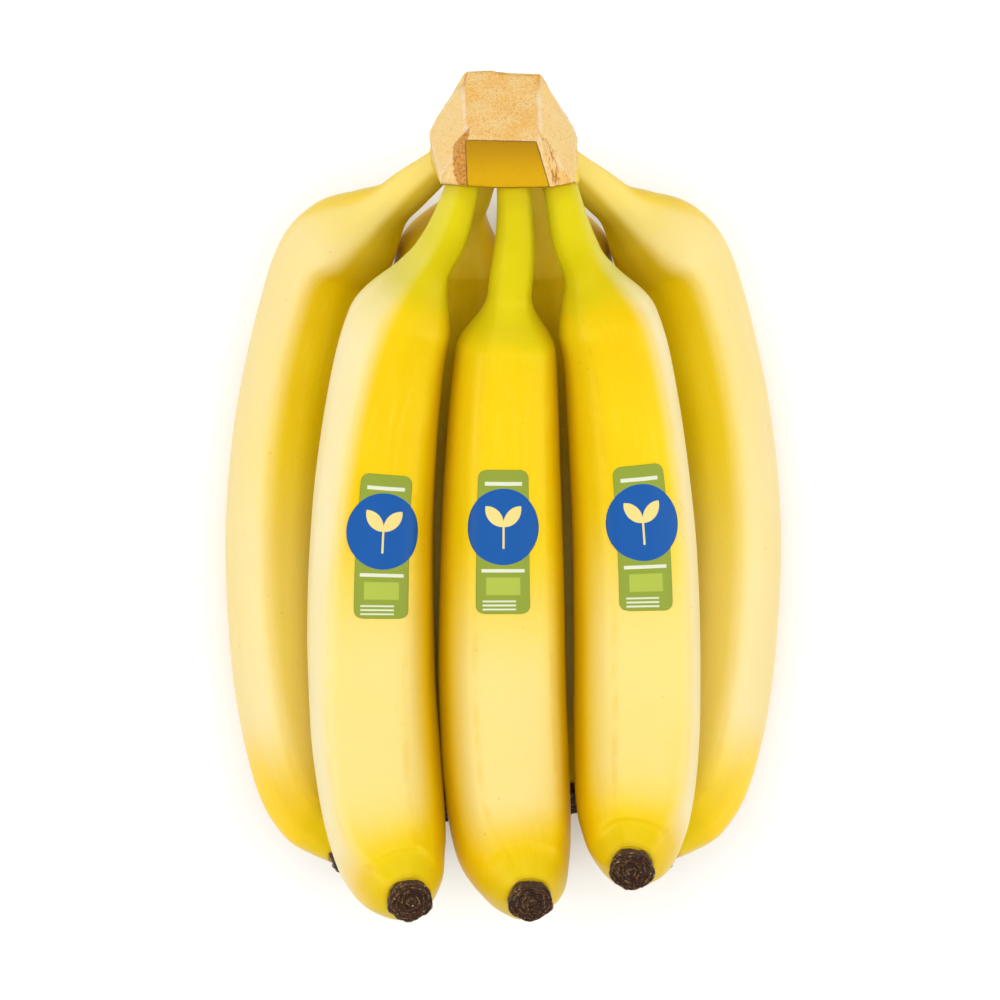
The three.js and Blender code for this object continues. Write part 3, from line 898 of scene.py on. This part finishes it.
def scar_finish():
    """Dried flower: near black, with pale curled fibres and whitish specks that are painted glints.
    """
    scar = Finish("dried_scar")
    spot = scar.attribute("spot", "Vector")
    flat = scar.vector("MULTIPLY", spot, (1.0, 1.0, 0.0))
    from_middle = scar.vector("LENGTH", flat, output=1)
    warp = scar.noise(spot, 0.55, 4, 0.6)
    fine = scar.noise(spot, 3.2, 4, 0.7)
    rings = ((from_middle * 4.6 + warp * 17.0).sin() * 0.5 + 0.5) * fine.ease(0.38, 0.6)
    colour = scar.mix(fine.ease(0.35, 0.65), linear("1C0C05"), linear("5E351A"))
    colour = scar.mix(rings.ease(0.45, 0.85) * 0.85, colour, linear("C48A4A", 0.8))
    colour = scar.mix((rings * warp).ease(0.42, 0.54) * 0.85, colour, linear("F0C890", 0.9))
    height = scar.part(spot, 2)
    low_side = 1 - height.ease(0.2, 1.4)
    colour = scar.mix(low_side * 0.6, colour, linear("6E4016"))
    # Painted glints: small whitish specks where the face is glossier.
    glint_cells = scar.add("ShaderNodeTexVoronoi", None, {"Vector": spot, "Scale": 1.6})
    specks = (1 - glint_cells.ease(0.0, 0.2)) * warp.ease(0.5, 0.6)
    colour = scar.mix(specks * 0.75, colour, linear("D8CFC4"))
    roughness = 0.42 - 0.2 * warp
    bump = fine + rings * 0.6
    return scar.surface(colour, roughness, bump, 0.0005, {"Specular IOR Level": 0.35})


dried = scar_finish()
for number, (name, banana) in enumerate(BANANAS.items()):
    line, _ = centre_line(banana)
    along = (line[-1] - line[-2]).normalized()
    piece = scar_piece(f"scar_{name}", line[-1], along, number + 1)
    piece.data.materials.append(dried)
    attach(piece, "root")
    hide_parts(f"tip_{name}")


# A paper label is stuck on each banana of the inner row: a green tab with rounded corners and a
# blue disc across it, nearer the crown, printed in one piece. It bends with the skin below it.
LABEL_WIDTH = 0.0228
LABEL_LENGTH = 0.043
LABEL_THICKNESS = 0.00016
LABEL_LIFT = 0.00004
TAB_WIDTH = 0.72 * LABEL_WIDTH
TAB_CORNER = 0.0026
DISC_SHIFT = 0.0045
LABEL_ROWS = 96
LABEL_COLUMNS = 44

# What is printed on it, in millimetres from the middle of the disc.
DISC_INK = 11.5
LEAF_TILT = math.radians(42)
LEAF_LENGTH = 8.4
LEAF_WIDTH = 4.0
LEAF_ROUND = (LEAF_LENGTH ** 2 / 4 + LEAF_WIDTH ** 2 / 4) / LEAF_WIDTH
LEAF_OFFSET = LEAF_ROUND - LEAF_WIDTH / 2
STEM_HALF_WIDTH = 0.32
STEM_HALF_LENGTH = 3.6
STEM_DROP = 3.0

# Where each label's middle is: a share of the banana's line, and how far round it is turned.
LABELS = {
    "inner_left": (0.505, math.radians(12)),
    "inner_middle": (0.49, 0.0),
    "inner_right": (0.515, math.radians(6)),
}


def label_half_width(along):
    """Half the label's width, so far along from its middle."""
    from_end = LABEL_LENGTH / 2 - abs(along)
    drop = max(TAB_CORNER - from_end, 0)
    tab = TAB_WIDTH / 2 - TAB_CORNER + math.sqrt(max(TAB_CORNER ** 2 - drop ** 2, 0))
    disc = math.sqrt(max((LABEL_WIDTH / 2) ** 2 - (along + DISC_SHIFT) ** 2, 0))
    return max(tab, disc)


def label_piece(name, line, middle, turn, skin):
    """A thin closed sheet that lies on the banana's skin."""
    run = np.cumsum([0.0] + [(b - a).length for a, b in zip(line, line[1:])])
    surface = BVHTree.FromObject(skin, bpy.context.evaluated_depsgraph_get())
    upper, lower, print_places = [], [], []
    for row in range(LABEL_ROWS + 1):
        # The rows lie closer together towards both ends, where the outline turns.
        even = 2 * row / LABEL_ROWS - 1
        place = (0.75 * even + 0.25 * math.sin(even * math.pi / 2)) * LABEL_LENGTH / 2
        target = middle * run[-1] + place
        step = int(np.searchsorted(run, target)) - 1
        part = (target - run[step]) / (run[step + 1] - run[step])
        centre = line[step].lerp(line[step + 1], part)
        along = (line[step + 1] - line[step]).normalized()
        sideways = (Vector((1, 0, 0)) - along * along.x).normalized()
        hollow = along.cross(sideways)
        half_width = label_half_width(place)
        for column in range(LABEL_COLUMNS + 1):
            across = (2 * column / LABEL_COLUMNS - 1) * half_width
            angle = math.pi / 2 - turn - across / (BANANA_THICKNESS / 2)
            outwards = sideways * math.cos(angle) + hollow * math.sin(angle)
            start = centre + outwards * BANANA_THICKNESS
            hit, normal, _, _ = surface.ray_cast(start, -outwards)
            lower.append(hit + normal * LABEL_LIFT)
            upper.append(hit + normal * (LABEL_LIFT + LABEL_THICKNESS))
            print_places.append((across * 1000, -(place + DISC_SHIFT) * 1000))
    count = len(upper)
    width = LABEL_COLUMNS + 1
    faces = []
    for row in range(LABEL_ROWS):
        for column in range(LABEL_COLUMNS):
            a = row * width + column
            faces.append((a, a + 1, a + 1 + width, a + width))
            faces.append((a + width + count, a + 1 + width + count, a + 1 + count, a + count))
    outline = list(range(width))
    outline += [row * width + LABEL_COLUMNS for row in range(1, LABEL_ROWS + 1)]
    outline += [LABEL_ROWS * width + column for column in range(LABEL_COLUMNS - 1, -1, -1)]
    outline += [row * width for row in range(LABEL_ROWS - 1, 0, -1)]
    for a, b in zip(outline, outline[1:] + outline[:1]):
        faces.append((b, a, a + count, b + count))
    mesh = bpy.data.meshes.new(name)
    mesh.from_pydata(upper + lower, [], faces)
    printed = mesh.attributes.new("print", "FLOAT2", "POINT")
    printed.data.foreach_set("vector", [part for place in print_places * 2 for part in place])
    shade_smooth(mesh)
    return add_object(name, mesh)


def label_finish():
    """Printed in flat inks: a plain sprig on the disc, and bars and a pale box on the tab."""
    label = Finish("printed_label")
    place = label.attribute("print", "Vector")
    x = label.part(place, 0)
    y = label.part(place, 1)
    blur = 0.08

    def inside(value, edge):
        return 1 - value.ease(edge - blur, edge + blur)

    def bar(middle_x, middle_y, half_width, half_height):
        """Where a bar is printed, given in millimetres."""
        return inside(x.distance(middle_x), half_width) * inside(y.distance(middle_y), half_height)

    fleck = label.noise(place, 2.4, 3)
    colour = label.mix(fleck, linear("8FA02E"), linear("9AAA3C"))
    ink = linear("F1F3DC")
    colour = label.mix(bar(0.0, 12.9, 6.0, 0.55) * 0.9, colour, ink)
    colour = label.mix(bar(0.0, -13.2, 6.6, 0.5) * 0.9, colour, ink)
    colour = label.mix(bar(0.0, -17.8, 5.2, 2.6) * 0.8, colour, linear("BCCB4E"))
    for middle_y in (-22.3, -23.5, -24.7):
        colour = label.mix(bar(-1.2, middle_y, 5.0, 0.26) * 0.85, colour, ink)

    from_middle = (x * x + y * y) ** 0.5
    disc = inside(from_middle, DISC_INK)
    blue = label.mix(fleck, linear("0058AE", 0.5), linear("0A66BC", 0.5))
    colour = label.mix(disc, colour, blue)

    # A plain sprig: two leaves, each where two round shapes overlap, on one stem.
    cream = linear("F6E08A")
    for side in (-1, 1):
        up_leaf = x * (side * math.sin(LEAF_TILT)) + y * math.cos(LEAF_TILT) - LEAF_LENGTH / 2
        over_leaf = x * (side * math.cos(LEAF_TILT)) - y * math.sin(LEAF_TILT)
        one = ((over_leaf - LEAF_OFFSET) ** 2 + up_leaf ** 2) ** 0.5
        other = ((over_leaf + LEAF_OFFSET) ** 2 + up_leaf ** 2) ** 0.5
        leaf = inside(one, LEAF_ROUND) * inside(other, LEAF_ROUND)
        colour = label.mix(leaf * disc, colour, cream)
    stem = bar(0.0, -STEM_DROP, STEM_HALF_WIDTH, STEM_HALF_LENGTH)
    colour = label.mix(stem * disc, colour, cream)
    roughness = 0.4 + 0.1 * fleck
    return label.surface(colour, roughness, fleck, 0.00001, {"Specular IOR Level": 0.12})


paper = label_finish()
for name, (middle, turn) in LABELS.items():
    line, _ = centre_line(BANANAS[name])
    piece = label_piece(f"label_{name}", line, middle, turn, fruit[name])
    piece.data.materials.append(paper)
    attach(piece, "root")
    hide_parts(f"sticker_{name}")


# A small studio: a pale table, a high and a low soft light on each side, one past the crown and
# one past the tips, and a broad one overhead. The camera looks straight down on the level hand,
# and is rocked with it.
TABLE_SIZE = 6.0
ROOM_LIGHT = 0.34
CAMERA_ALONG = -0.088
CAMERA_DISTANCE = 1.035
CAMERA_LENS = 126.3

table = add_object("table", bpy.data.meshes.new("table"))
half = TABLE_SIZE / 2
table.data.from_pydata([(-half, -half, 0), (half, -half, 0), (half, half, 0), (-half, half, 0)],
                       [], [(0, 1, 2, 3)])
top = Finish("table_top")
grain = top.noise(top.object_place(), 60, 3)
top_colour = top.mix(grain, (0.74, 0.73, 0.72, 1), (0.77, 0.765, 0.755, 1))
table.data.materials.append(top.surface(top_colour, 0.9, grain, 0.0001, {}))

camera_data = bpy.data.cameras.new("camera")
camera_data.lens = CAMERA_LENS
camera_data.sensor_width = 36
camera = add_object("camera", camera_data)
camera.location = lie @ Vector((0, CAMERA_ALONG, CAMERA_DISTANCE))
camera.rotation_euler = (REST_PITCH, 0, 0)
bpy.context.scene.camera = camera


def soft_light(name, place, aim, width, height, power):
    """A soft panel at a place, turned towards the point that it is aimed at."""
    data = bpy.data.lights.new(name, "AREA")
    data.shape = "RECTANGLE"
    data.size = width
    data.size_y = height
    data.energy = power
    light = add_object(name, data)
    light.location = place
    light.rotation_euler = (Vector(aim) - Vector(place)).to_track_quat("-Z", "Y").to_euler()


soft_light("high_left", (-1.0, 0, 0.85), (0, 0, 0.04), 0.6, 1.4, 7)
soft_light("high_right", (1.0, 0, 0.85), (0, 0, 0.04), 0.6, 1.4, 7)
soft_light("low_left", (-0.85, 0, 0.28), (0, 0, 0.04), 0.3, 1.2, 4)
soft_light("low_right", (0.85, 0, 0.28), (0, 0, 0.04), 0.3, 1.2, 4)
soft_light("past_crown", (0, 1.0, 0.9), (0, 0, 0.05), 1.6, 0.5, 9)
soft_light("past_tips", (0, -1.0, 0.7), (0, 0, 0.04), 1.4, 0.4, 5)
soft_light("overhead", (0, 0, 1.8), (0, 0, 0), 1.2, 1.2, 13)

world = bpy.data.worlds.new("room")
world.use_nodes = True
world.node_tree.nodes["Background"].inputs["Color"].default_value = (1, 1, 1, 1)
world.node_tree.nodes["Background"].inputs["Strength"].default_value = ROOM_LIGHT
bpy.context.scene.world = world
bpy.context.scene.view_settings.view_transform = "Standard"
